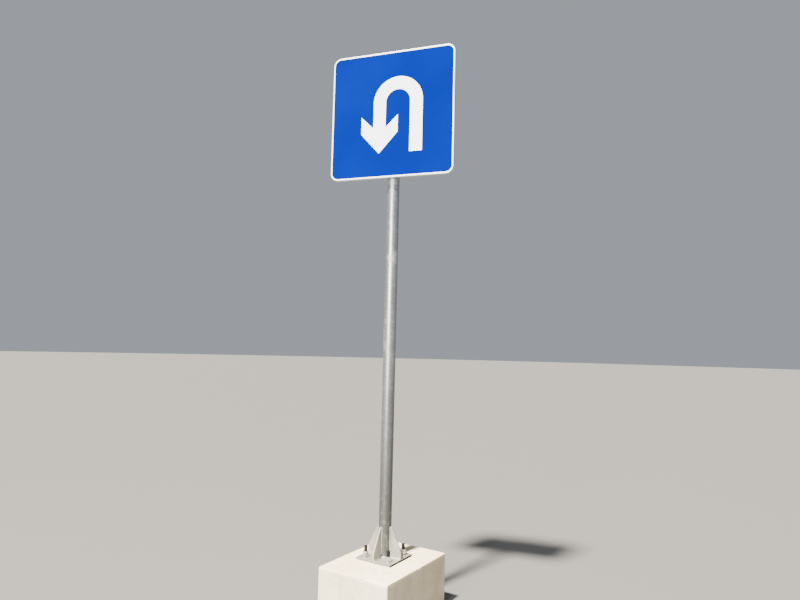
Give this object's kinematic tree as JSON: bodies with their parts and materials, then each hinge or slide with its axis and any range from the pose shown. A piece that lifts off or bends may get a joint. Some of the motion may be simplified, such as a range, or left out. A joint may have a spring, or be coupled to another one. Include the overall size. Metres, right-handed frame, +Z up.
{
  "type": "road sign on a single post",
  "caption": "Square blue U-turn road sign clamped to a round galvanised post, gusseted at its foot and bolted to a rectangular concrete plinth.",
  "frame": {"origin": "on the underside of the plinth, below the post's axis", "axes": "+Z up along the post, -Y the way the sign's face looks, +X to the right seen from the front"},
  "size_m": [0.8, 0.7347, 3.382],
  "materials": {
    "concrete": "cream fair-faced concrete, dusty, with fine pores",
    "galvanised_steel": "hot-dip galvanised, matt with faint spangle",
    "clamp_steel": "hot-dip galvanised strip",
    "rod_steel": "dark oiled steel, threaded",
    "zinc_fasteners": "zinc-coated, dull",
    "panel_sheet": "mill-finish sheet, grey",
    "rail_aluminium": "extruded, plain",
    "reflective_film": "blue retroreflective film with a cut white arrow and border",
    "cap_plastic": "moulded, grey"
  },
  "bodies": {
    "root": {"anchor_lock_nut_1": "zinc_fasteners", "anchor_lock_nut_2": "zinc_fasteners", "anchor_lock_nut_3": "zinc_fasteners", "anchor_lock_nut_4": "zinc_fasteners", "anchor_nut_1": "zinc_fasteners", "anchor_nut_2": "zinc_fasteners", "anchor_nut_3": "zinc_fasteners", "anchor_nut_4": "zinc_fasteners", "anchor_rod_1": "rod_steel", "anchor_rod_2": "rod_steel", "anchor_rod_3": "rod_steel", "anchor_rod_4": "rod_steel", "anchor_washer_1": "zinc_fasteners", "anchor_washer_2": "zinc_fasteners", "anchor_washer_3": "zinc_fasteners", "anchor_washer_4": "zinc_fasteners", "base_plate": "galvanised_steel", "clamp_bolt_lower_left": "zinc_fasteners", "clamp_bolt_lower_right": "zinc_fasteners", "clamp_bolt_upper_left": "zinc_fasteners", "clamp_bolt_upper_right": "zinc_fasteners", "clamp_nut_lower_left": "zinc_fasteners", "clamp_nut_lower_right": "zinc_fasteners", "clamp_nut_upper_left": "zinc_fasteners", "clamp_nut_upper_right": "zinc_fasteners", "clamp_washer_lower_left": "zinc_fasteners", "clamp_washer_lower_right": "zinc_fasteners", "clamp_washer_upper_left": "zinc_fasteners", "clamp_washer_upper_right": "zinc_fasteners", "face_sheeting": "reflective_film", "foundation_block": "concrete", "gusset_front": "galvanised_steel", "gusset_left": "galvanised_steel", "gusset_rear": "galvanised_steel", "gusset_right": "galvanised_steel", "post_cap": "cap_plastic", "post_tube": "galvanised_steel", "rail_lower": "rail_aluminium", "rail_upper": "rail_aluminium", "saddle_lower": "clamp_steel", "saddle_upper": "clamp_steel", "sign_panel": "panel_sheet", "strap_lower": "clamp_steel", "strap_upper": "clamp_steel"}
  },
  "joints": []
}
